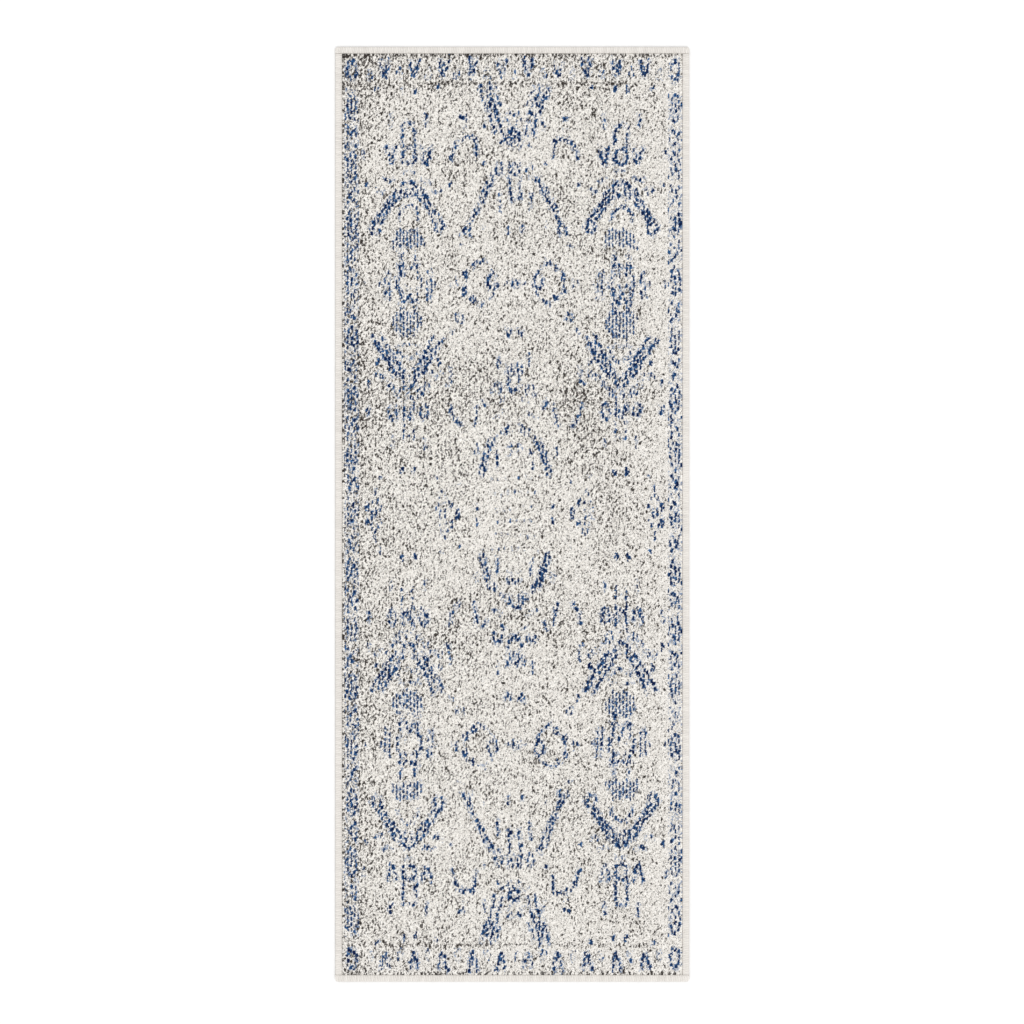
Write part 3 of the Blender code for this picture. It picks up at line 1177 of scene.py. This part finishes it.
def makeThreads(tree):
    low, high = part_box("needle_thread_left")
    endLow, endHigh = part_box("needle_thread_head_end")
    radius = float(high[0] - low[0]) / 2
    level = float(low[2]) + radius
    waist = radius * thread["thin"]
    sides = 6
    ring = []
    for side in range(sides):
        angle = -math.tau * side / sides
        ring.append((radius + waist * math.cos(angle), level + waist * math.sin(angle)))
    helper = ringMesh("threadOutline", ring, [1] * sides)
    material = threadMaterial()
    settings = dict(thread, rib=radius - waist, width=2 * radius, middle=level)
    kinds = [(endHigh[0] - endLow[0], endHigh[1]), (high[1] - low[1], -low[0])]
    pieces = []
    for quarter, place in enumerate(sideNames):
        length, reach = kinds[quarter % 2]
        pieces.append(wind("needle_stitches_" + place, tree, helper, sides, length, reach, quarter,
                           settings, material, "needle_thread_" + place))
    print("needle thread:", len(pieces), "runs of stitches")
    bpy.data.objects.remove(helper)
    return pieces


# the ground cloth and its coated back: ribs of weft across the rug
ground = {"pick": 0.0052, "columns": 20, "relief": 0.0003, "wander": 0.0002, "seed": 3}
back = {"pick": 0.0068, "columns": 24, "relief": -0.0003, "wander": 0.0001, "seed": 5}
warpStep = 0.0058       # from one warp yarn to the next, for both
juteYarn = {
    "light": colour(0.60, 0.52, 0.39),
    "dark": colour(0.34, 0.27, 0.18),
    # painted light: a pale colour for the cloth's upper face, to lift the shaded gap beside the pile
    "warp": colour(0.80, 0.77, 0.72),
    "finish": {"Roughness": 0.9, "Sheen Weight": 0.05},
}
latexCoat = {
    "bare": colour(0.56, 0.50, 0.40),
    "coated": colour(0.70, 0.67, 0.60),
    "finish": {"Roughness": 0.62},
}


def ribbedTree():
    # a flat sheet with one rib for each pick of weft, level at its rim
    tree, given = newTree("weftRibs", {
        "Width": "Float", "Length": "Float", "Picks": "Int", "Columns": "Int", "Relief": "Float",
        "Wander": "Float", "Level": "Float", "Seed": "Int", "Material": "Material",
    })
    grid = given["Width"].node("GeometryNodeMeshGrid", {}, {
        "Size X": given["Width"],
        "Size Y": given["Length"],
        "Vertices X": given["Columns"] + 1,
        "Vertices Y": given["Picks"] * 2 + 1,
    })
    x, y = grid.node("GeometryNodeInputPosition").xyz()[:2]
    step = ((y / given["Length"] + 0.5) * given["Picks"] * 2).nearest()
    inset = (given["Width"] / 2 - x.size()).least(given["Length"] / 2 - y.size())
    inside = (inset / 0.002).held()
    index = grid.node("GeometryNodeInputIndex")

    def random(seed):
        return index.node(
            "FunctionNodeRandomValue", {"data_type": "FLOAT"},
            {2: -1.0, 3: 1.0, "ID": index, "Seed": given["Seed"] + seed}, 1,
        )

    relief = given["Relief"] * ((step % 2) * 0.8 + random(0) * 0.1 + 0.1) * inside
    moved = x.point(x, y + random(1) * given["Wander"] * inside, given["Level"] + relief)
    shaped = grid.node("GeometryNodeSetPosition", {}, {"Geometry": grid, "Position": moved})
    endTree(tree, shaped, given["Material"])
    return tree


def weaveMask(place, across, along):
    # a plain weave: 1 on the crown of each crossing, 0 in the gaps
    x, y = place.xyz()[:2]
    warp = (x * (math.tau / across)).wave()
    weft = (y * (math.tau / along)).wave()
    return ((warp * weft) * 0.5 + 0.5).held()


def juteMaterial():
    # jute below, and paler on the upper face, which shows only in the gap beside the pile: painted light
    # that lifts the shade in that gap
    material, place, feed = principled("juteGround", juteYarn["finish"])
    weave = weaveMask(place, warpStep, ground["pick"])
    hair = noise(stretched(place, (0.15, 1.0, 1.0)), 1200, 3.0)
    height = place.xyz()[2]
    # painted light: the upper half of the cloth takes the pale colour
    over = ((height - float(groundLow[2] + groundHigh[2]) / 2) * 5000).held()
    bare = (weave * 0.5 + hair * 0.5).held().blend(juteYarn["dark"], juteYarn["light"])
    feed("Base Color", over.blend(bare, juteYarn["warp"]))
    feed("Normal", bump(weave * 0.7 + hair * 0.3, 0.6, 0.0005))
    return material


def latexMaterial():
    material, place, feed = principled("latexSize", latexCoat["finish"])
    weave = weaveMask(place, warpStep, back["pick"])
    pools = noise(place, 14, 4.0)
    film = (0.35 + pools * 0.9 - weave * 0.45).held()
    feed("Base Color", film.blend(latexCoat["bare"], latexCoat["coated"]))
    feed("Roughness", 0.75 - film * 0.25)
    feed("Normal", bump(weave * (1 - film * 0.5) + noise(place, 900, 2.0) * 0.3, 0.5, 0.0004))
    return material


def makeSlab(name, tree, low, high, level, under, settings, material, node):
    piece = grow(name, tree, {
        "Width": float(high[0] - low[0]),
        "Length": float(high[1] - low[1]),
        "Picks": round((high[1] - low[1]) / settings["pick"]),
        "Columns": settings["columns"],
        "Relief": settings["relief"],
        "Wander": settings["wander"],
        "Level": level,
        "Seed": settings["seed"],
        "Material": material,
    })
    closeSlab(piece, low, high, under)
    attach(piece, bodyName)
    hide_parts(node)
    return piece


def makeGround(tree):
    level = float(groundHigh[2]) - ground["relief"]
    cloth = makeSlab("ground_cloth", tree, groundLow, groundHigh, level, groundLow[2], ground,
                     juteMaterial(), "woven_ground")
    print("ground cloth: woven")
    return cloth


def makeBack(tree):
    level = float(coatLow[2]) - back["relief"]
    coat = makeSlab("sized_back", tree, coatLow, coatHigh, level, coatHigh[2], back,
                    latexMaterial(), "latex_back_coat")
    print("back: sized")
    return coat


# the floor, the light and the camera
studio = {
    "frameWidth": 1.9774,   # how much of the floor the view takes in, at the pile's height
    "middle": (-0.0005, 0.0044),
    "lens": 85,
    "floorHalf": 14.0,
    "floorDrop": 0.0002,
    "surround": 0.95,
    "lamp": 0.68,
    "lampSize": 18,
    "lampTilt": (30, 18, 0),
}


def makeStudio():
    scene = bpy.context.scene
    scene.view_settings.view_transform = "Standard"
    half = studio["floorHalf"]
    corners = [(-half, -half, 0), (half, -half, 0), (half, half, 0), (-half, half, 0)]
    mesh = bpy.data.meshes.new("floor")
    mesh.from_pydata(corners, [], [(0, 1, 2, 3)])
    floor = bpy.data.objects.new("floor", mesh)
    scene.collection.objects.link(floor)
    floor.location.z = -studio["floorDrop"]
    paint = {"Base Color": colour(0.94, 0.94, 0.94), "Roughness": 0.95}
    mesh.materials.append(principled("floorPaint", paint)[0])

    world = bpy.data.worlds.new("surround")
    scene.world = world
    world.use_nodes = True
    sky = world.node_tree.nodes["Background"]
    sky.inputs["Color"].default_value = colour(1, 1, 1)
    sky.inputs["Strength"].default_value = studio["surround"]

    lamp = bpy.data.objects.new("lamp", bpy.data.lights.new("lamp", "SUN"))
    lamp.data.energy = studio["lamp"]
    lamp.data.angle = math.radians(studio["lampSize"])
    lamp.rotation_euler = [math.radians(angle) for angle in studio["lampTilt"]]
    scene.collection.objects.link(lamp)

    camera = bpy.data.objects.new("camera", bpy.data.cameras.new("camera"))
    camera.data.lens = studio["lens"]
    distance = studio["frameWidth"] * studio["lens"] / camera.data.sensor_width
    camera.location = (*studio["middle"], distance + pileHigh[2])
    scene.collection.objects.link(camera)
    scene.camera = camera
    print("studio: ready")


makeStudio()
blocks = makePile()
wound = woundTree()
edges = makeEdges(wound)
threads = makeThreads(wound)
ribbed = ribbedTree()
cloth = makeGround(ribbed)
coat = makeBack(ribbed)
